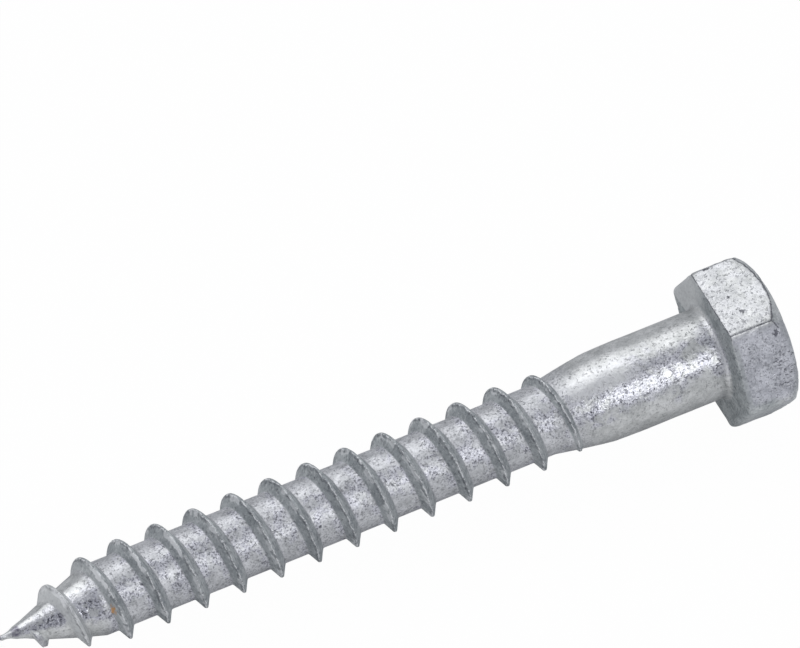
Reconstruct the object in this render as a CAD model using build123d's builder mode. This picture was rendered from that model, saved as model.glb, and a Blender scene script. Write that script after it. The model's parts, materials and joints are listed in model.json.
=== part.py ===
# Lag screw, 12 mm, hot-dip galvanised: one piece of steel with a forged hexagon head
# and a rolled thread. It lies as it comes to rest, on one flat of the head and one crest
# of the thread, with the point towards -X. +Z is up.
from build123d import *
from math import atan2, cos, degrees, radians, sin, sqrt, tan
import os

# Head
across_flats = 18.7
head_height = 7.6
end_face_dia = 17.6  # flat circle on the end of the head
end_radius = 14.0  # spherical round from that circle down the sides
corner_round = 0.26

# Shank, and the shoulder where it necks down to the core
length = 94.6  # from the seat under the head to the point
shank_dia = 11.5
shank_length = 16.4
shoulder_length = 6.3
shoulder_blend = 14.0
seat_fillet = 0.9

# Thread, right hand
pitch = 5.0
thread_dia = 11.8
core_dia = 8.9
flank_angle = 30.0  # of each flank, from square to the axis
crest_width = 0.16
run_out = 6.6  # axial length over which the crest dies away at the shoulder
run_out_reach = 3.9  # how far up the shoulder it still shows
crest_clock = 64.4  # where the crest starts, as a turn about the axis

# Gimlet point
point_length = 12.4
tip_dia = 0.5
lead_in = 3.55  # from the tip to where the crest starts
lead_rise = 1.45  # axial length over which it rises to its full height
ease_length = 2.3  # the crest starts to fall this far before the core does
ease_drop = 0.4  # and is this much lower where the point begins

# The ridge of the thread is rooted under the surface of the core
root_depth = 0.9  # deep enough to stay buried in the taper of the point
end_depth = 0.08  # each end of the crest dips this far under the surface

# Lengths are measured from the seat, with the point towards +Z, until the screw is laid down
neck = shank_length + shoulder_length
point = length - point_length
crest_start = length - lead_in
crest_full = crest_start - lead_rise
crest_ease = point - ease_length
fade_end = neck - run_out_reach
fade_start = fade_end + run_out
crest_height = (thread_dia - core_dia) / 2
point_taper = (core_dia - tip_dia) / 2 / point_length
shoulder_taper = (shank_dia - core_dia) / 2 / shoulder_length


def point_radius(height):
    """Radius of the conical point at a height on it."""
    return tip_dia / 2 + point_taper * (length - height)


def crest_turn(height):
    """Turn of the thread's crest about the axis at a height, in degrees."""
    return crest_clock - 360 * (crest_start - height) / pitch


def helix_chain(radii, shift):
    """One edge of the ridge: a helix on a cylinder or cone for each stretch of the thread."""
    chain = []
    for low, high, low_radius, high_radius in zip(stations, stations[1:], radii, radii[1:]):
        flare = atan2(high_radius - low_radius, high - low)
        helix = Helix(
            pitch / cos(flare),
            high - low,
            low_radius,
            center=(0, 0, low + shift),
            cone_angle=degrees(flare),
        )
        chain.append(helix.rotate(Axis.Z, crest_turn(low)))
    return chain


# Stretches of the thread: run-out at the shoulder, core, ease to the point, point, lead-in
stations = (fade_end, fade_start, crest_ease, point, crest_full, crest_start)
surface = (
    core_dia / 2,
    core_dia / 2,
    core_dia / 2,
    core_dia / 2,
    point_radius(crest_full),
    point_radius(crest_start),
)
crest = (
    core_dia / 2 + shoulder_taper * run_out_reach - end_depth,
    thread_dia / 2,
    thread_dia / 2,
    thread_dia / 2 - ease_drop,
    point_radius(crest_full) + crest_height,
    point_radius(crest_start) - end_depth,
)
root = [max(radius - root_depth, radius / 8) for radius in surface]
half_root = crest_width / 2 + (crest_height + root_depth) * tan(radians(flank_angle))

edges = (
    helix_chain(root, -half_root),
    helix_chain(crest, -crest_width / 2),
    helix_chain(crest, crest_width / 2),
    helix_chain(root, half_root),
)
ridge_faces = []
for edge, next_edge in zip(edges, edges[1:] + edges[:1]):
    for helix, next_helix in zip(edge, next_edge):
        ridge_faces.append(Face.make_surface_from_curves(helix, next_helix))
for stretch, end in ((0, 0), (-1, 1)):
    with BuildLine() as ridge_end:
        Polyline([chain[stretch] @ end for chain in edges], close=True)
    ridge_faces.append(Face(ridge_end.wire()))

with BuildPart() as screw:
    # hexagon head, with corners on the X axis
    with BuildSketch():
        RegularPolygon(across_flats / 2, 6, major_radius=False)
    extrude(amount=-head_height)
    fillet(screw.edges().filter_by(Axis.Z), corner_round)

    # forged round on the end of the head
    with Locations((0, 0, sqrt(end_radius**2 - (end_face_dia / 2) ** 2) - head_height)):
        Sphere(end_radius, mode=Mode.INTERSECT)

    # turned blank: fillet under the head, shank, shoulder, core and point
    with BuildSketch(Plane.XZ) as blank:
        with BuildLine():
            Polyline(
                (shank_dia / 2, seat_fillet),
                (shank_dia / 2, shank_length),
                (core_dia / 2, neck),
                (core_dia / 2, point),
                (tip_dia / 2, length),
                (0, length),
                (0, -head_height / 2),
                (shank_dia / 2 + seat_fillet, -head_height / 2),
                (shank_dia / 2 + seat_fillet, 0),
            )
            Bezier(
                (shank_dia / 2 + seat_fillet, 0),
                (shank_dia / 2, 0),
                (shank_dia / 2, seat_fillet),
            )
        make_face()
        bend = blank.vertices().filter_by_position(Axis.Y, shank_length, shank_length)
        fillet(bend, shoulder_blend)
    revolve(axis=Axis.Z)

    # thread
    add(Solid(Shell(ridge_faces)))

# At rest: a flat of the head and the last full crest that passes under the axis touch the floor
touch = crest_ease - (crest_turn(crest_ease) + 90) % 360 / 360 * pitch + crest_width / 2
slope = atan2((across_flats - thread_dia) / 2, touch)
head_end = head_height * cos(slope) + end_face_dia / 2 * sin(slope)
seat = Plane(
    origin=((length * cos(slope) - head_end) / 2, 0, across_flats / 2 * cos(slope)),
    x_dir=(0, -1, 0),
    z_dir=(-cos(slope), 0, -sin(slope)),
)
with BuildPart() as lag_screw:
    with Locations(seat.location):
        add(screw.part)
lag_screw.part.label = "lag_screw"

os.makedirs("parts", exist_ok=True)
export_step(lag_screw.part, "parts/lag_screw.step")
box = lag_screw.part.bounding_box()
print("box", box.min, box.max, "rests at a slope of", degrees(slope))
print("seat at", seat.origin, "points along", seat.z_dir)
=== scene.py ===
import json
from math import atan2, cos, degrees, hypot, pi, radians, sin, sqrt, tan

import bmesh
import bpy
from mathutils import Matrix, Vector, noise


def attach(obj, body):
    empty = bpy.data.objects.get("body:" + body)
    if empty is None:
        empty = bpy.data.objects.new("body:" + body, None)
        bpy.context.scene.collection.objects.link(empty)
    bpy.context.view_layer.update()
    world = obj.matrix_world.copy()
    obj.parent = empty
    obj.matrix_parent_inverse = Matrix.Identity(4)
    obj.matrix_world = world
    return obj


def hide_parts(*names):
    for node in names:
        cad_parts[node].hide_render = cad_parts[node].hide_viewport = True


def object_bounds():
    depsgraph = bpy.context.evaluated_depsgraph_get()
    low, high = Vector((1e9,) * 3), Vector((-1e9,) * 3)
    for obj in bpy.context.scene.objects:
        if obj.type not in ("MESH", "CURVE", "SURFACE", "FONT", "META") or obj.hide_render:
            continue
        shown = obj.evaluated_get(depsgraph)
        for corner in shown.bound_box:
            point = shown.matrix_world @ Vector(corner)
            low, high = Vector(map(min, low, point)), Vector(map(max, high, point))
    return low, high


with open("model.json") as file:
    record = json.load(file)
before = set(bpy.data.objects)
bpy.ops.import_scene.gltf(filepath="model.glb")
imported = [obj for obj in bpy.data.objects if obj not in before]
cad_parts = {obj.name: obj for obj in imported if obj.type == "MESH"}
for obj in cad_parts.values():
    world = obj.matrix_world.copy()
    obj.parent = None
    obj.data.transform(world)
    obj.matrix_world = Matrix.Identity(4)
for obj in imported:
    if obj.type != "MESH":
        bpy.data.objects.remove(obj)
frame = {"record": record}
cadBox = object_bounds()
mounts = {mount["name"]: mount for mount in frame["record"]["mounts"]}
mm = 0.001

# The screw's own space: millimetres, seat plane at z 0, point towards +z, y up when it lies down
pointWay = Vector(mounts["seat"]["axis"]).normalized()
shankSpot = Vector(mounts["shank"]["pos_m"])
seatSpot = shankSpot + pointWay * (Vector(mounts["seat"]["pos_m"]) - shankSpot).dot(pointWay)
sideWay = Vector((0, -1, 0))
screwSpace = Matrix.Translation(seatSpot) @ Matrix(
    (sideWay, pointWay.cross(sideWay), pointWay)).transposed().to_4x4() @ Matrix.Scale(mm, 4)
print("frame loaded, axis", pointWay)


def ease(value, low, high):
    # 0 below low, 1 above high, smooth between
    t = min(max((value - low) / (high - low), 0.0), 1.0)
    return t * t * (3 - 2 * t)


def window(value, rise, full, fade, gone):
    # 0 up to rise, 1 from full to fade, 0 again from gone on, smooth between
    return ease(value, rise, full) * (1 - ease(value, fade, gone))


def along(value, stops):
    # straight lines through (place, size) stops
    for (low, lowSize), (high, highSize) in zip(stops, stops[1:]):
        if value <= high:
            return lowSize + (highSize - lowSize) * max(value - low, 0.0) / (high - low)
    return stops[-1][1]


def softMax(a, b, blend):
    # the larger of the two, with a rounded inner corner
    gap = max(blend - abs(a - b), 0.0) / blend
    return max(a, b) + gap * gap * blend / 4


def lumps(spot, size, seed=0.0):
    # smooth noise from -1 to 1 with features of about that size in mm
    return noise.noise(spot / size + Vector((seed, seed * 0.37, seed * 0.71)))


def clockOf(spot):
    # the angle round the axis in degrees, from -180 to 180, with 90 at the top
    return degrees(atan2(spot.y, spot.x))


def clockWay(clock):
    return Vector((cos(radians(clock)), sin(radians(clock)), 0))


# Lag screw
screw = {
    "steps": 120,            # round the axis
    "length": 94.6,
    "shankRadius": 5.75,
    "shankAtShoulder": 5.67,
    "coreRadius": 4.45,
    "shoulderLead": 11.0,    # from here the shank thins a little towards the shoulder
    "shoulderStart": 15.0,
    "shoulderEnd": 22.7,
    "shoulderCurve": 1.18,
    "pointStart": 82.2,
    "tipRadius": 0.25,
    # the ragged tip: place along the axis, radius
    "tipShape": ((89.0, 2.15), (90.2, 1.66), (91.4, 1.17), (92.0, 0.98), (92.65, 0.8), (93.3, 0.5),
        (93.7, 0.4), (94.0, 0.36), (94.25, 0.38), (94.5, 0.3), (94.6, 0.16)),
    "tipRings": (92.6, 0.125),    # level rings from here on, spacing
    "seatFillet": 0.9,
    "threadFrom": 17.0,      # where the helical part of the mesh takes over
    # half a pitch of the thread's mesh, from the crest's middle to the groove's
    "threadRows": (0.0, 0.05, 0.11, 0.18, 0.3, 0.45, 0.6, 0.74, 0.84, 0.92, 1.0, 1.1, 1.25, 1.5,
        1.8, 2.15, 2.5),
    "pitch": 5.0,
    "crestRadius": 5.9,
    "crestHalf": 0.14,
    "flankAngle": 30.0,
    "rootBlend": 0.16,
    "crestClock": 62.2,
    "crestStart": 91.02,     # place of the crest's start at that clock angle
    "crestSunk": 0.1,        # the crest starts this much under the point's surface
    "crestFull": 89.7,       # up to here the ridge keeps its height over the point
    "crestEase": 79.9,       # from here the crest comes down towards the point
    "crestAtPoint": 5.5,     # its radius where the point begins
    "narrowing": (88.5, 90.5, 0.5),    # the first turn's flanks get steeper: from, to, share
    "lip": (87.2, 88.6),     # the start of the crest is blunt from here on
    "lipDrop": 0.52,
    "lipWiden": 0.2,
    # the first turn sits a little nearer the tip, between these places: rise, full, fade, gone
    "startShift": 0.05,
    "startSpan": (82.0, 90.0, 90.8, 93.0),
    # the rolled point is a little out of true, between these places
    "pointBend": 0.12,
    "bendClock": -34.0,
    "bendSpan": (81.5, 86.5, 88.0, 93.5),
    "runOutFrom": 18.8,
    "runOutTo": 25.4,
    "runOutHeight": 0.72,    # of the crest over the core, where it first shows on the shoulder
    "seamDepth": 0.09,       # the rolled seam along the crest
    "seamPlace": 0.1,
    "seamHalf": 0.06,
    "seamLeast": 0.5,        # crests lower than this have no seam
    "acrossFlats": 18.7,
    "headHeight": 7.6,
    "endFaceRadius": 8.8,
    "endRadius": 14.0,
    "blank": 0.64,           # radius of the turned blank before the flats are cut, per width across flats
    # rows of the turned mesh: end face, end arc, seat, fillet, shank
    "turnedRows": (20, 8, 12, 5, 32),
    # rounding of the head's edges: clock angle, width
    "rounds": ((-180, 0.7), (-60, 0.75), (0, 0.85), (45, 0.7), (57, 0.3), (62, 0.22), (118, 0.22),
        (125, 0.5), (180, 0.7)),
    "arcRound": 0.25,        # between the flats and the round end
    "arcFrom": (3.2, 4.6),   # distance from the seat where that rounding takes over
    "insets": (0.12, 0.3, 0.55, 0.9),
    "gridStep": 0.45,        # spacing of the slices over the flats
    "cornerSlices": (-1.8, -0.8, 0.8, 1.8),    # clock angles beside each corner
}


def bareRadius(z):
    # shank, shoulder, core and point, without the thread
    s = screw
    if z > s["pointStart"]:
        reach = (s["length"] - z) / (s["length"] - s["pointStart"])
        cone = s["tipRadius"] + (s["coreRadius"] - s["tipRadius"]) * reach
        if z > s["tipShape"][0][0]:
            return along(z, s["tipShape"])
        return cone
    if z > s["shoulderEnd"]:
        return s["coreRadius"]
    if z > s["shoulderStart"]:
        # a soft shoulder: round at the shank, straight down to the core
        t = (z - s["shoulderStart"]) / (s["shoulderEnd"] - s["shoulderStart"])
        return s["shankAtShoulder"] + (s["coreRadius"] - s["shankAtShoulder"]) * t ** s["shoulderCurve"]
    lead = max(z - s["shoulderLead"], 0.0) / (s["shoulderStart"] - s["shoulderLead"])
    return s["shankRadius"] + (s["shankAtShoulder"] - s["shankRadius"]) * lead ** 2


def crestRadiusAt(z):
    s = screw
    taper = (s["coreRadius"] - s["tipRadius"]) / (s["length"] - s["pointStart"])
    height = s["crestRadius"] - s["coreRadius"]
    full = s["tipRadius"] + taper * (s["length"] - s["crestFull"]) + height
    start = s["tipRadius"] + taper * (s["length"] - s["crestStart"]) - s["crestSunk"]
    return along(z, (
        (s["runOutFrom"], s["coreRadius"] + s["runOutHeight"]),
        (s["runOutTo"], s["crestRadius"]),
        (s["crestEase"], s["crestRadius"]),
        (s["pointStart"], s["crestAtPoint"]),
        (s["crestFull"], full),
        (s["crestStart"], start),
    ))


def withParts(faces):
    # the faces with their edges and vertices, each once and always in the same order
    parts = faces + [e for f in faces for e in f.edges] + [v for f in faces for v in f.verts]
    return list(dict.fromkeys(parts))


def makeThread(bm):
    # one turn's profile, spun round the axis with a rise of one pitch a turn
    s = screw
    step = 360 / s["steps"]
    turns = int((s["length"] - s["threadFrom"]) / s["pitch"]) + 4
    firstClock = int(s["crestClock"] / step) * step
    firstCrest = s["crestStart"] + (firstClock - s["crestClock"]) / 360 * s["pitch"] + 2 * s["pitch"]
    firstCrest -= turns * s["pitch"]
    rows = [-w for w in reversed(s["threadRows"][1:])] + list(s["threadRows"])
    verts = [bm.verts.new((s["coreRadius"], 0, firstCrest + w)) for w in rows]
    edges = [bm.edges.new(pair) for pair in zip(verts, verts[1:])]
    bmesh.ops.transform(bm, matrix=Matrix.Rotation(radians(firstClock), 4, "Z"), verts=verts)
    bmesh.ops.spin(bm, geom=verts + edges, cent=(0, 0, 0), axis=(0, 0, 1),
        dvec=(0, 0, s["pitch"] / s["steps"]), angle=2 * pi,
        steps=s["steps"], use_merge=False, use_normal_flip=False, use_duplicate=False)
    turn = bm.verts[:] + bm.edges[:] + bm.faces[:]
    for k in range(1, turns):
        copied = bmesh.ops.duplicate(bm, geom=turn)["geom"]
        copiedVerts = [v for v in copied if isinstance(v, bmesh.types.BMVert)]
        bmesh.ops.translate(bm, vec=(0, 0, k * s["pitch"]), verts=copiedVerts)
    bmesh.ops.remove_doubles(bm, verts=bm.verts, dist=0.004)
    # the tip gets level rings and a flat end
    level, spacing = s["tipRings"]
    while level < s["length"] + 0.01:
        near = [f for f in bm.faces if max(v.co.z for v in f.verts) > level - 0.01]
        bmesh.ops.bisect_plane(bm, geom=withParts(near), dist=0.001,
            plane_co=(0, 0, level), plane_no=(0, 0, 1), clear_outer=level + 0.1 > s["length"])
        level += spacing


def shapeThread(bm, ridge, seam):
    # each vertex gets the radius of the blank or of the ridge, whichever stands higher
    s = screw
    slope = 1 / tan(radians(s["flankAngle"]))
    narrowFrom, narrowTo, narrowShare = s["narrowing"]
    for vert in bm.verts:
        z = vert.co.z
        clock = clockOf(vert.co)
        crest = s["crestStart"] + (clock - s["crestClock"]) / 360 * s["pitch"]
        off = (z - crest + s["pitch"] / 2) % s["pitch"] - s["pitch"] / 2
        crestZ = z - off
        low = max(z, s["threadFrom"])
        bare = bareRadius(min(low, s["length"]))
        radius = bare
        share = 0.0
        if s["runOutFrom"] - 1.0 < crestZ < s["crestStart"] + 0.4:
            top = crestRadiusAt(crestZ)
            steep = slope * (1 + narrowShare * ease(crestZ, narrowFrom, narrowTo))
            blunt = ease(crestZ, *s["lip"])
            beside = max(abs(off) - s["crestHalf"] - s["lipWiden"] * blunt, 0.0)
            face = top - s["lipDrop"] * blunt - beside * steep
            if top - bare > s["seamLeast"]:
                # the seam's depth varies, and now and then it closes
                depth = 0.5 + 0.9 * lumps(Vector((vert.co.x, vert.co.y, crestZ)), 1.6, 4.0)
                groove = max(1 - abs(off - s["seamPlace"]) / s["seamHalf"], 0.0)
                face -= s["seamDepth"] * max(depth, 0.0) * groove
            radius = softMax(bare, face, s["rootBlend"])
            if top > bare + 0.05:
                share = min(max((radius - bare) / (top - bare), 0.0), 1.0)
        bend = clockWay(s["bendClock"]) * s["pointBend"] * window(low, *s["bendSpan"])
        flat = clockWay(clock) * radius + bend
        rise = s["startShift"] * window(low, *s["startSpan"])
        vert.co = Vector((flat.x, flat.y, min(low, s["length"]) + rise))
        vert[ridge] = share
        vert[seam] = off if share > 0.3 else 1.0
    bmesh.ops.remove_doubles(bm, verts=bm.verts, dist=0.002)
    bmesh.ops.dissolve_degenerate(bm, edges=bm.edges, dist=0.0015)
    rim = [e for e in bm.edges if e.is_boundary and min(v.co.z for v in e.verts) > s["length"] - 0.05]
    bmesh.ops.holes_fill(bm, edges=rim, sides=0)


def turnedProfile():
    # from the middle of the end face round the head and along the shank: radius, place
    s = screw
    endRows, arcRows, seatRows, filletRows, shankRows = s["turnedRows"]
    beyond = s["acrossFlats"] * s["blank"]
    domeMiddle = sqrt(s["endRadius"] ** 2 - s["endFaceRadius"] ** 2) - s["headHeight"]
    places = [(0.0, -s["headHeight"])]
    for k in range(1, endRows):
        places.append((s["endFaceRadius"] * k / endRows, -s["headHeight"]))
    for k in range(arcRows + 1):
        r = s["endFaceRadius"] + (beyond - s["endFaceRadius"]) * k / arcRows
        places.append((r, domeMiddle - sqrt(s["endRadius"] ** 2 - r * r)))
    places.append((beyond, 0.0))
    filletEnd = s["shankRadius"] + s["seatFillet"]
    for k in range(1, seatRows + 1):
        places.append((beyond + (filletEnd - beyond) * k / seatRows, 0.0))
    for k in range(1, filletRows + 1):
        t = k / filletRows
        r = filletEnd * (1 - t) ** 2 + 2 * t * (1 - t) * s["shankRadius"] + s["shankRadius"] * t * t
        places.append((r, s["seatFillet"] * t * t))
    for k in range(1, shankRows + 1):
        z = s["seatFillet"] + (s["threadFrom"] - s["seatFillet"]) * k / shankRows
        places.append((bareRadius(z), z))
    return places


def cutFlats(bm):
    # six cuts make the hexagon
    for side in range(6):
        way = clockWay(30 + 60 * side)
        cut = [f for f in bm.faces if min(v.co.z for v in f.verts) < 0.001]
        made = bmesh.ops.bisect_plane(bm, geom=withParts(cut), dist=0.0001,
            plane_co=way * screw["acrossFlats"] / 2, plane_no=way, clear_outer=True, clear_inner=False)
        rim = [e for e in made["geom_cut"] if isinstance(e, bmesh.types.BMEdge)]
        bmesh.ops.holes_fill(bm, edges=rim, sides=0)


def sliceHead(bm):
    # a grid over the flats and the faces beside them, fine enough for round edges, dents and pits
    s = screw

    def cutWhere(test, place, way):
        cut = [f for f in bm.faces if test(f)]
        bmesh.ops.bisect_plane(bm, geom=withParts(cut), dist=0.01, plane_co=place, plane_no=way)

    def onFlat(face):
        return abs(face.normal.z) < 0.05 and face.calc_center_median().z < -0.1

    def atRim(face):
        middle = face.calc_center_median()
        return onFlat(face) or middle.z < 0.01 and middle.xy.length > s["endFaceRadius"]

    for side in range(6):
        way = clockWay(30 + 60 * side)

        def beside(face):
            middle = face.calc_center_median()
            return middle.z < 0.01 and abs(face.normal.z) > 0.1 and middle.dot(way) > 8.0

        for inset in s["insets"]:
            cutWhere(beside, way * (s["acrossFlats"] / 2 - inset), way)
    levels = list(s["insets"])
    while levels[-1] + s["gridStep"] < s["headHeight"]:
        levels.append(levels[-1] + s["gridStep"])
    for level in levels:
        cutWhere(onFlat, (0, 0, -level), (0, 0, 1))
    halfTurn = s["steps"] // 2
    clocks = [180 * k / halfTurn for k in range(halfTurn)]
    clocks += [60 * k + lean for k in range(3) for lean in s["cornerSlices"]]
    for clock in clocks:
        cutWhere(atRim, (0, 0, 0), (-sin(radians(clock)), cos(radians(clock)), 0))


def makeHeadAndShank():
    # the profile spun full circle, then the flats
    bm = bmesh.new()
    for name in ("ridge", "seam"):
        bm.verts.layers.float.new(name)
    verts = [bm.verts.new((r, 0, z)) for r, z in turnedProfile()]
    edges = [bm.edges.new(pair) for pair in zip(verts, verts[1:])]
    bmesh.ops.spin(bm, geom=verts + edges, cent=(0, 0, 0), axis=(0, 0, 1), dvec=(0, 0, 0),
        angle=2 * pi, steps=screw["steps"], use_merge=True, use_normal_flip=False, use_duplicate=False)
    bmesh.ops.remove_doubles(bm, verts=bm.verts, dist=0.002)
    bmesh.ops.recalc_face_normals(bm, faces=bm.faces)
    cutFlats(bm)
    sliceHead(bm)
    return bm


def headWalls(spot):
    # depth of a spot under each face of the head, with that face's outward way
    s = screw
    walls = []
    for side in range(6):
        way = clockWay(30 + 60 * side)
        walls.append((s["acrossFlats"] / 2 - spot.dot(way), way))
    domeMiddle = sqrt(s["endRadius"] ** 2 - s["endFaceRadius"] ** 2) - s["headHeight"]
    outward = spot - Vector((0, 0, domeMiddle))
    if spot.z < -3.0:
        walls.append((s["endRadius"] - outward.length, outward.normalized()))
    walls.append((-spot.z, Vector((0, 0, 1))))
    walls.append((spot.z + s["headHeight"], Vector((0, 0, -1))))
    return walls


def roundWidth(spot):
    # how wide the edges of the head are rounded at a spot
    s = screw
    width = along(clockOf(spot), s["rounds"])
    return width + min(s["arcRound"] - width, 0.0) * ease(-spot.z, *s["arcFrom"])


def roundHead(bm):
    # zinc and forging leave no edge sharp: vertices near two or more faces sink to a round
    for vert in bm.verts:
        if vert.co.z > 0.005 or vert.co.z > -0.5 and vert.co.xy.length < 7.5:
            continue
        for attempt in range(3):
            width = roundWidth(vert.co)
            near = [(width - depth, way) for depth, way in headWalls(vert.co) if depth < width]
            if len(near) < 2:
                break
            excess = sqrt(sum(part * part for part, way in near)) - width
            if excess < 0.0005:
                break
            push = Vector((0, 0, 0))
            for part, way in near:
                push += way * part
            vert.co -= push.normalized() * excess


def rimDistance(spot):
    # how far a spot of the head is from the nearest edge between two of its faces
    nearest = sorted(abs(depth) for depth, way in headWalls(spot))
    return hypot(nearest[0], nearest[1])


# Where the coat changes. Four numbers are a window: rise, full, fade, gone. Names that end in
# Clock are clock angles in degrees, the others are places along the axis or distances in mm
marks = {
    # matte zinc, distance from a rim, grit with painted highlight speckle, rust, satin with paler flanks
    # (painted light), stain, painted highlight, painted seam highlight, scratches and a cool tint
    "names": ("matte", "rim", "gritAndHighlightSpeckle", "rust", "satin", "stain", "paintedHighlight", "seamHighlight", "scratch", "cool"),
    "farRim": 3.0,                 # no rim is felt from here on
    "topFlatClock": (50, 55, 119, 122),
    "frontFlatClock": (0.0, 4.0, 56.0, 60.0),
    "lowFlatsClock": (2.0, 6.0),
    "scratchClock": (4.0, 12.0, 34.0, 42.0),
    "scratchDepth": (4.0, 5.2),
    "seatGlossAndPaintedLightClock": (90.0, 130.0),
    "highlightSpeckleClock": (18, 34, 74, 90),
    "core": (17.0, 21.0, 81.0, 84.0),
    "foot": (0.6, 0.9, 1.3, 2.4),
    "scuff": (14.3, 16.0, 18.0, 19.5),
    "scuffClock": (12, 24, 58, 68),
    "point": (82.0, 84.0),
    "shiny": (82.0, 85.0),
    "tipFrom": 91.0,
    "tipRing": 92.6,
    "tipRingHalf": (0.35, 0.65),
    "tipDrop": (94.3, 94.5),
    "tipClock": (-10, 30, 90, 120),
    "lipStain": (88.2, 0.3),       # place, least share of the ridge's height
    "lipStainClock": (30, 50),
    "rustSpot": (32.0, 81.35),     # clock angle, place
    "rustSize": (0.2, 0.9),
    "rustReach": 3.8,              # its distance from the axis
    "rustSqueeze": 2.8,            # how much shorter it is along the axis
    "seamFrom": 17.5,
    "filletClock": (0.0, 30.0, 80.0, 95.0),
    "paleClock": (56, 66, 86, 98),
    "pale": (9.0, 14.0, 18.5, 21.0),
    "seamHighlight": (64.0, 70.0),
    "seamHighlightClock": (58, 68, 92, 104),
}


def headMarks(spot, normal, clock):
    m = marks
    reach = rimDistance(spot)
    soft = ease(roundWidth(spot), 0.3, 0.6)
    topFlat = window(clock, *m["topFlatClock"])
    found = {"satin": 0.7, "gritAndHighlightSpeckle": 0.75 - 0.45 * topFlat}
    found["rim"] = min(reach + 3 * soft + 0.35 * (1 - topFlat), m["farRim"])
    # matte: the seat, the soft edges, the lower flats and the end
    seat = ease(normal.z, 0.8, 0.97) if abs(spot.z) < 0.5 else 0.0
    lowFlats = 0.75 * ease(-clock, *m["lowFlatsClock"]) * (abs(normal.z) < 0.5)
    end = 0.7 * ease(-normal.z, 0.3, 0.45)
    found["matte"] = max(seat, soft * (1 - ease(reach, 0.5, 1.1)), lowFlats, end)
    if normal.z < 0.5:
        frontFlat = window(clock, *m["frontFlatClock"])
        found["matte"] = max(found["matte"], 0.25 * frontFlat)
        found["cool"] = 0.9 * frontFlat
        found["scratch"] = window(clock, *m["scratchClock"]) * ease(-spot.z, *m["scratchDepth"])
    # the seat is glossier and paler away from the front; the paler colour on its upper back part is painted
    # light
    if normal.z > 0.8:
        found["satin"] = 1.0 - 1.4 * ease(clock, *m["seatGlossAndPaintedLightClock"])
    return found


def shankMarks(spot, normal, clock, share):
    # shank, shoulder, threaded core, thread and point; share is the part of the ridge's height
    s = screw
    m = marks
    bare = share < 0.02
    core = window(spot.z, *m["core"])
    onPoint = ease(spot.z, *m["point"])
    # grit lies at the crests' feet, on the scuffed shoulder and, thinner, all over the core; the band
    # along the upper front of the shank and of the point, where the highlight falls, is painted speckled
    # highlight
    lean = clock + 22 * lumps(spot, 3.0, 7.0) + 12 * lumps(spot, 1.0, 8.0)
    side = window(lean, *m["highlightSpeckleClock"])
    off = (spot.z - s["crestStart"] - (clock - s["crestClock"]) / 360 * s["pitch"]) % s["pitch"]
    foot = window(off, *m["foot"])
    scuff = window(spot.z, *m["scuff"]) * window(clock, *m["scuffClock"])
    found = {"rim": m["farRim"]}
    found["gritAndHighlightSpeckle"] = max(side, (0.45 + 0.55 * foot) * core, 1.25 * scuff) + 0.7 * side * onPoint
    found["cool"] = 0.35 * core + 0.2 * side * onPoint
    # satin: full on the core, a little on the shank, below none on the point; where it is low the flanks are
    # paler, which is painted light
    found["satin"] = core + 0.28 * (1 - ease(spot.z, *m["core"][:2])) - 0.4 * ease(spot.z, *m["shiny"])
    if spot.z < 0.5:
        found["matte"] = ease(normal.z, 0.8, 0.97)
    # stained: a ring behind the tip, the drop at its end, and the lower side of the blunt lip
    if spot.z > m["tipFrom"]:
        found["matte"] = 0.5 * ease(spot.z, m["tipFrom"], m["tipRing"])
        ring = 1 - ease(abs(spot.z - m["tipRing"]), *m["tipRingHalf"])
        found["stain"] = max(ring, 0.8 * ease(spot.z, *m["tipDrop"])) * window(clock, *m["tipClock"])
    lipFrom, lipShare = m["lipStain"]
    if spot.z > lipFrom and share > lipShare:
        found["stain"] = 0.6 * (1 - ease(clock, *m["lipStainClock"])) * (1 - share * 0.4)
    # painted highlight: pale smooth zinc on the upper side above the shoulder and on the point
    pale = window(clock, *m["paleClock"])
    if m["pale"][0] < spot.z < m["pale"][3] and bare:
        found["paintedHighlight"] = 0.75 * pale * window(spot.z, *m["pale"])
        found["gritAndHighlightSpeckle"] *= 1 - 0.9 * found["paintedHighlight"]
    if spot.z > m["point"][0] and bare:
        found["paintedHighlight"] = 0.65 * pale * onPoint
    return found


def markSurfaces(bm, ridge, seam):
    # what the finish reads at each vertex
    m = marks
    layers = {name: bm.verts.layers.float.new(name) for name in m["names"]}
    rustClock, rustPlace = m["rustSpot"]
    bm.normal_update()
    for vert in bm.verts:
        spot = vert.co
        normal = vert.normal
        clock = clockOf(spot)
        if spot.z < 0.05 and spot.xy.length > 6.0 or spot.z < -0.3:
            found = headMarks(spot, normal, clock)
        else:
            found = shankMarks(spot, normal, clock, vert[ridge])
        # painted highlight: a pale line along the fillet under the head, on its front and upper side
        if -0.05 < spot.z < 1.2:
            found["paintedHighlight"] = window(normal.z, 0.15, 0.4, 0.55, 0.85) * window(clock, *m["filletClock"])
        # painted highlight: near the point the white streak beside the rolled seam is stronger on the upper
        # side of each crest
        found["seamHighlight"] = ease(spot.z, *m["seamHighlight"]) * window(clock, *m["seamHighlightClock"])
        if abs(spot.z - rustPlace) < 1.5:
            across = radians(clock - rustClock) * m["rustReach"]
            away = hypot(across, m["rustSqueeze"] * (spot.z - rustPlace))
            found["rust"] = 1 - ease(away, *m["rustSize"])
        for name, layer in layers.items():
            vert[layer] = found.get(name, 0.0)
        if spot.z < m["seamFrom"]:
            vert[seam] = 1.0


# The zinc's skin: size of each feature and its depth in mm
coat = {
    "lumps": (2.6, 0.02),
    "ripples": (0.9, 0.012),
    "dents": (1.7, 0.06),
    "chips": (0.8, 0.05),
    "rimChips": 0.1,         # deeper by this along the rims of the head
    "sunk": 0.02,
}


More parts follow.
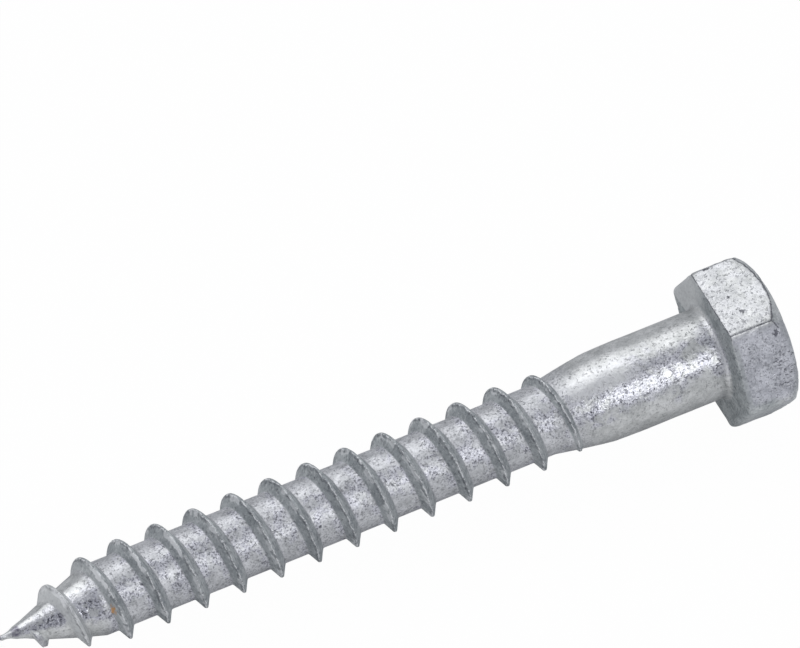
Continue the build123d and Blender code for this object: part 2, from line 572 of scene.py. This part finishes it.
def zincCoat(bm):
    # lumps, pits and dents left by forging, rolling and the dipped zinc
    lumpSize, lumpDepth = coat["lumps"]
    rippleSize, rippleDepth = coat["ripples"]
    dentSize, dentDepth = coat["dents"]
    chipSize, chipDepth = coat["chips"]
    bm.normal_update()
    moves = []
    for vert in bm.verts:
        spot = vert.co.copy()
        height = lumpDepth * lumps(spot, lumpSize, 1.0) + rippleDepth * lumps(spot, rippleSize, 2.0)
        if spot.z < 0.5:
            # the head: shallow dents, and chips along the rims
            height -= dentDepth * ease(lumps(spot, dentSize, 5.0), 0.25, 0.6)
            rim = 1 - ease(rimDistance(spot), 0.1, 0.6) if spot.z < 0.05 and spot.xy.length > 7.5 else 0.0
            chip = ease(lumps(spot, chipSize, 6.0), 0.35 - 0.25 * rim, 0.6)
            height -= (chipDepth + coat["rimChips"] * rim) * chip
        moves.append(vert.normal * (height - coat["sunk"]))
    for vert, move in zip(bm.verts, moves):
        vert.co += move


def makeScrew():
    bm = bmesh.new()
    ridge = bm.verts.layers.float.new("ridge")
    seam = bm.verts.layers.float.new("seam")
    makeThread(bm)
    shapeThread(bm, ridge, seam)
    print("thread", len(bm.verts), "verts", len(bm.faces), "faces")
    head = makeHeadAndShank()
    print("head and shank", len(head.verts), "verts", len(head.faces), "faces")
    part = bpy.data.meshes.new("part")
    head.to_mesh(part)
    head.free()
    bm.from_mesh(part)
    bpy.data.meshes.remove(part)
    bmesh.ops.remove_doubles(bm, verts=bm.verts, dist=0.004)
    print("open edges", len([e for e in bm.edges if not e.is_manifold]))
    bmesh.ops.recalc_face_normals(bm, faces=bm.faces)
    markSurfaces(bm, ridge, seam)
    roundHead(bm)
    zincCoat(bm)
    bmesh.ops.transform(bm, matrix=screwSpace, verts=bm.verts)
    # nothing stands out of the solid's box
    low, high = cadBox
    for vert in bm.verts:
        for k in range(3):
            vert.co[k] = min(max(vert.co[k], low[k]), high[k])
    bmesh.ops.triangulate(bm, faces=[f for f in bm.faces if len(f.verts) > 4])
    mesh = bpy.data.meshes.new("lagScrewSteel")
    bm.to_mesh(mesh)
    print("triangles", sum(len(f.verts) - 2 for f in bm.faces), "volume mm3", bm.calc_volume() * 1e9)
    bm.free()
    for face in mesh.polygons:
        face.use_smooth = True
    piece = bpy.data.objects.new("lagScrewSteel", mesh)
    bpy.context.scene.collection.objects.link(piece)
    return piece


lagScrew = makeScrew()
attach(lagScrew, "root")
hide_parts("lag_screw")
print("lag screw made")


# Finishes
class Wire:
    # a shader socket that takes part in sums
    def __init__(self, finish, socket):
        self.finish = finish
        self.socket = socket

    def maths(self, operation, *values):
        return self.finish.node("Math", {"operation": operation}, dict(enumerate(values)))

    def __add__(self, other):
        return self.maths("ADD", self, other)

    __radd__ = __add__

    def __sub__(self, other):
        return self.maths("SUBTRACT", self, other)

    def __rsub__(self, other):
        return self.maths("SUBTRACT", other, self)

    def __mul__(self, other):
        return self.maths("MULTIPLY", self, other)

    __rmul__ = __mul__

    def atLeast(self, other):
        return self.maths("MAXIMUM", self, other)

    def band(self, low, high, start=0.0, end=1.0):
        # start below low, end above high, smooth between
        return self.finish.node("MapRange", {"interpolation_type": "SMOOTHSTEP"},
            {"Value": self, "From Min": low, "From Max": high, "To Min": start, "To Max": end})

    def below(self, low, high, start=1.0):
        # the other way round: start below low, 0 above high
        return self.band(low, high, start, 0.0)

    def near(self, middle, inner, outer):
        # 1 within inner of the middle, 0 beyond outer
        away = self - middle
        return away.maths("ABSOLUTE", away).below(inner, outer)


class Finish:
    def __init__(self, name):
        self.material = bpy.data.materials.new(name)
        self.material.use_nodes = True
        self.tree = self.material.node_tree
        self.tree.nodes.clear()

    def node(self, kind, settings=None, values=None, out=0):
        # settings first, then the sockets by name or number, as values or links
        made = self.tree.nodes.new("ShaderNode" + kind)
        for key, value in (settings or {}).items():
            setattr(made, key, value)
        for key, value in (values or {}).items():
            socket = made.inputs[key]
            if isinstance(value, Wire):
                self.tree.links.new(value.socket, socket)
            else:
                socket.default_value = value
        return Wire(self, made.outputs[out]) if made.outputs else None

    def mix(self, share, first, second):
        # a Mix node's colours are its sockets 6 and 7, and come out of its third
        colours = {6: first, 7: second}
        for key, value in colours.items():
            colours[key] = value if isinstance(value, Wire) else (*value, 1.0)
        return self.node("Mix", {"data_type": "RGBA"}, {"Factor": share, **colours}, out=2)

    def noise(self, where, scale, detail=2.0, rough=0.5, warp=0.0):
        return self.node("TexNoise", {"noise_dimensions": "3D"},
            {"Vector": where, "Scale": scale, "Detail": detail, "Roughness": rough, "Distortion": warp})

    def mark(self, name):
        return self.node("Attribute", {"attribute_name": name}, out="Fac")


zinc = {
    "bright": (0.76, 0.77, 0.768),
    "dull": (0.495, 0.508, 0.505),
    "lavender": (0.68, 0.685, 0.755),
    "lavenderDark": (0.39, 0.395, 0.44),
    "matteDark": (0.36, 0.39, 0.40),
    "matte": (0.52, 0.55, 0.555),
    "dark": (0.07, 0.072, 0.09),
    "white": (0.86, 0.87, 0.88),
    "stain": (0.13, 0.12, 0.18),
    "rust": (0.58, 0.29, 0.09),
    # noise scales per mm
    "patchScale": 0.45,
    "mottleScale": 1.3,
    "grainScale": 2.6,
    "fineScale": 4.2,
    "pitScale": 2.3,
    "streakScale": 3.4,
    # roughness and metallic of plain zinc, with what matte and satin places add or take away
    "rough": 0.34,
    "roughMatte": 0.16,
    "roughSatin": 0.14,
    "metal": 0.9,
    "metalMatte": 0.35,
    "edgeTint": (0.5, 0.51, 0.53, 1.0),
    "bumpDepth": 0.00018,
    # chips in the coat: distance from the axis, clock angle, place along the axis, size
    "chips": ((9.7, 74.8, -3.04, 0.34), (9.33, 90.6, -2.54, 0.2), (10.0, 51.0, -5.72, 0.4),
        (10.63, 118.9, -2.03, 0.42), (4.44, 30.5, 53.98, 0.2)),
}


def galvanisedZinc():
    z = zinc
    f = Finish("galvanisedZinc")
    # object coordinates in millimetres, turned so that x runs along the screw
    slope = atan2(-pointWay.z, -pointWay.x)
    body = f.node("Mapping", {"vector_type": "POINT"},
        {"Vector": f.node("TexCoord", out="Object"), "Rotation": (0, -slope, 0), "Scale": (1000, 1000, 1000)})
    streaked = f.node("Mapping", {"vector_type": "POINT"}, {"Vector": body, "Scale": (0.45, 1.0, 1.0)})
    ridge = f.mark("ridge")
    seam = f.mark("seam")
    matte, rim, gritAndHighlightSpeckle, rust, satin, stain, paintedHighlight, seamHighlight, scratch, cool = [
        f.mark(name) for name in marks["names"]]

    # the coat: smooth and grainy places, bright and dull patches, dark specks; in the upper-front band the
    # grit mark's lavender tint and dark and pale specks are painted speckled highlight
    patches = f.noise(body, z["patchScale"], 4.0, 0.6)
    mottle = f.noise(body, z["mottleScale"], 4.0, 0.7)
    grain = f.noise(body, z["grainScale"], 2.0, 0.7)
    fine = f.noise(body, z["fineScale"], 1.0, 0.6)
    grainAndHighlightSpeckle = gritAndHighlightSpeckle * f.noise(body, 0.6, 3.0, 0.6, 0.5).band(0.36, 0.56)
    pits = f.noise(body, z["pitScale"], 2.0, 0.7).band(0.6, 0.66)

    tone = 0.5 * patches.band(0.35, 0.65) + 0.5 * mottle.band(0.36, 0.66)
    colour = f.mix(tone, z["dull"], z["bright"])
    colour = f.mix((grainAndHighlightSpeckle * 0.85).atLeast(cool), colour, f.mix(tone, z["lavenderDark"], z["lavender"]))
    colour = f.mix(fine.band(0.55, 0.65) * (0.18 + 0.3 * grainAndHighlightSpeckle), colour, z["white"])
    colour = f.mix(fine.below(0.34, 0.46) * (0.15 + 0.5 * grainAndHighlightSpeckle), colour, z["dark"])
    colour = f.mix(pits * (0.2 + 0.4 * grainAndHighlightSpeckle), colour, z["dark"])

    # flanks and the bearing face are matte, with small pale and dark spots
    flank = ridge.band(0.0, 0.08).atLeast(matte)
    flankTone = f.mix(patches.band(0.36, 0.62), z["matteDark"], z["matte"])
    flankTone = f.mix(grain.band(0.55, 0.66) * 0.5, flankTone, z["bright"])
    flankTone = f.mix(grain.below(0.34, 0.45) * 0.38, flankTone, z["dark"])
    flankTone = f.mix(pits * 0.4, flankTone, z["dark"])
    # paler where the satin mark is low, on the point's flanks and the seat's upper back part: painted light
    flankTone = f.mix(0.45 * (1 - satin), flankTone, z["bright"])
    flankTone = f.mix(cool * 0.3, flankTone, z["lavenderDark"])
    colour = f.mix(flank, colour, flankTone)
    # painted highlights: the pale fillet line, and the upper side above the shoulder and on the point
    colour = f.mix(paintedHighlight * 0.7, colour, z["white"])

    # beside the rolled seam's groove along the crest: a broken pale line and a white streak, which are
    # painted highlights, and dark lines beside them, which are painted shade
    wander = seam + 0.6 * (f.noise(body, 0.8, 3.0, 0.6) - 0.5)
    broken = f.noise(body, 1.7, 3.0, 0.7)
    pale = wander.near(0.15, 0.03, 0.09) * broken.band(0.47, 0.51)
    darkLine = wander.near(0.28, 0.05, 0.12) * broken.band(0.42, 0.5, 0.9, 0.35)
    patch = f.noise(body, z["patchScale"], 2.0, 0.6).band(0.54, 0.58).atLeast(seamHighlight)
    streak = wander.near(0.34, 0.08, 0.2) * patch * (0.55 + 0.4 * seamHighlight)
    colour = f.mix(seam.near(-0.1, 0.15, 0.3) * 0.16, colour, z["dark"])
    colour = f.mix(darkLine * 0.6, colour, z["dark"])
    colour = f.mix(streak, colour, z["white"])
    colour = f.mix(pale * 0.85, colour, z["white"])

    # rims of the head: a broken dark line along the sharper rims, strongest round the top flat
    darkRimLine = rim + 0.5 * (f.noise(body, 1.5, 4.0, 0.7) - 0.45)
    colour = f.mix(darkRimLine.below(0.05, 0.2) * 0.8, colour, z["dark"])

    # a few chips through the zinc, and short scratches along one flat
    for reach, clock, rise, size in z["chips"]:
        place = screwSpace @ (clockWay(clock) * reach + Vector((0, 0, rise)))
        middle = Matrix.Rotation(-slope, 3, "Y") @ place * 1000
        away = f.node("VectorMath", {"operation": "DISTANCE"}, {0: body, 1: middle}, out="Value")
        away = away + 3.2 * size * (grain - 0.5)
        colour = f.mix(away.below(0.75 * size, size, 0.8), colour, z["dark"])
    strokes = f.noise(streaked, z["streakScale"], 2.0, 0.6).band(0.58, 0.63)
    colour = f.mix(strokes * scratch * 0.75, colour, z["dark"])

    # the tip is stained
    colour = f.mix(stain * grain.band(0.42, 0.58, 0.85, 0.45), colour, z["stain"])

    # a spot of rust beside the crest
    speckled = rust + 3.0 * (f.noise(body, 3.5, 2.0, 0.7) - 0.5)
    rusty = rust.band(0.02, 0.3) * speckled.band(0.45, 0.85)
    colour = f.mix(rusty * 0.85, colour, z["rust"])

    rough = z["rough"] + z["roughMatte"] * flank + z["roughSatin"] * satin
    metal = (z["metal"] - z["metalMatte"] * flank) * (1 - rusty)
    height = 0.3 * f.noise(body, 0.7, 2.0, 0.6) + (0.06 + 0.24 * grainAndHighlightSpeckle) * grain - 0.3 * pits
    bump = f.node("Bump", {}, {"Strength": 1.0, "Distance": z["bumpDepth"], "Height": height})
    shader = f.node("BsdfPrincipled", {}, {"Base Color": colour, "Metallic": metal,
        "Roughness": rough, "Specular Tint": z["edgeTint"], "Normal": bump})
    f.node("OutputMaterial", {}, {"Surface": shader})
    return f.material


lagScrew.data.materials.append(galvanisedZinc())
print("finish made")


# Floor, lights and camera
studio = {
    "floorSize": 6.0,
    "floorWhite": 0.8,
    "floorGlow": 0.98,       # how much of the white ground the camera sees in place of the lit floor
    "floorGloss": 0.17,      # how much of it the metal mirrors
    "world": (0.43, 0.44, 0.47),
    # way round from the front, height in degrees, distance, width and depth, power
    "lamps": {
        "keyLamp": (18, 39.5, 1.9, (0.9, 0.9), 8.3),
        "backLamp": (180, 55, 1.3, (2.53, 1.1), 10.1),
    },
    "camera": {"aim": (0.01127, 0.02012, 0.009), "around": -26.36, "above": 51.59, "far": 1.4418,
        "roll": 0.926, "lens": 535.7, "sensor": 36.0, "clip": (0.1, 20.0)},
}


def wayTo(around, above):
    a, e = radians(around), radians(above)
    return Vector((sin(a) * cos(e), -cos(a) * cos(e), sin(e)))


def facing(way):
    # the turn that makes a lamp or a camera look back along a way
    return (-way).to_track_quat("-Z", "Y")


def lamp(name, around, above, far, size, power):
    light = bpy.data.lights.new(name, "AREA")
    light.shape = "RECTANGLE"
    light.size, light.size_y = size
    light.energy = power
    item = bpy.data.objects.new(name, light)
    way = wayTo(around, above)
    item.location = way * far
    item.rotation_mode = "QUATERNION"
    item.rotation_quaternion = facing(way)
    bpy.context.scene.collection.objects.link(item)


def paleFloor():
    # white to the camera, and a lit pale floor to the rest of the light
    s = studio
    f = Finish("paleFloor")
    rays = f.node("LightPath")
    kinds = rays.socket.node.outputs
    glossy, transmission = Wire(f, kinds["Is Glossy Ray"]), Wire(f, kinds["Is Transmission Ray"])
    seen = rays + s["floorGloss"] * glossy + transmission
    lit = f.node("BsdfDiffuse", {}, {"Color": (s["floorWhite"], s["floorWhite"], s["floorWhite"], 1)})
    glow = f.node("Emission", {}, {"Color": (1, 1, 1, 1), "Strength": 1.0})
    both = f.node("MixShader", {}, {0: seen * s["floorGlow"], 1: lit, 2: glow})
    f.node("OutputMaterial", {}, {"Surface": both})
    return f.material


def makeStudio():
    s = studio
    bm = bmesh.new()
    bmesh.ops.create_grid(bm, x_segments=1, y_segments=1, size=s["floorSize"] / 2)
    mesh = bpy.data.meshes.new("floor")
    bm.to_mesh(mesh)
    bm.free()
    floor = bpy.data.objects.new("floor", mesh)
    bpy.context.scene.collection.objects.link(floor)
    floor.data.materials.append(paleFloor())
    world = bpy.data.worlds.new("studioGrey")
    world.use_nodes = True
    world.node_tree.nodes["Background"].inputs["Color"].default_value = (*s["world"], 1)
    bpy.context.scene.world = world
    for name, values in s["lamps"].items():
        lamp(name, *values)


def makeCamera():
    c = studio["camera"]
    data = bpy.data.cameras.new("camera")
    data.lens = c["lens"]
    data.sensor_width = c["sensor"]
    data.clip_start, data.clip_end = c["clip"]
    camera = bpy.data.objects.new("camera", data)
    way = wayTo(c["around"], c["above"])
    camera.rotation_mode = "QUATERNION"
    camera.rotation_quaternion = facing(way) @ Matrix.Rotation(radians(c["roll"]), 4, "Z").to_quaternion()
    camera.location = Vector(c["aim"]) + way * c["far"]
    bpy.context.scene.collection.objects.link(camera)
    bpy.context.scene.camera = camera


makeStudio()
makeCamera()
bpy.context.scene.view_settings.view_transform = "Standard"
print("studio made")
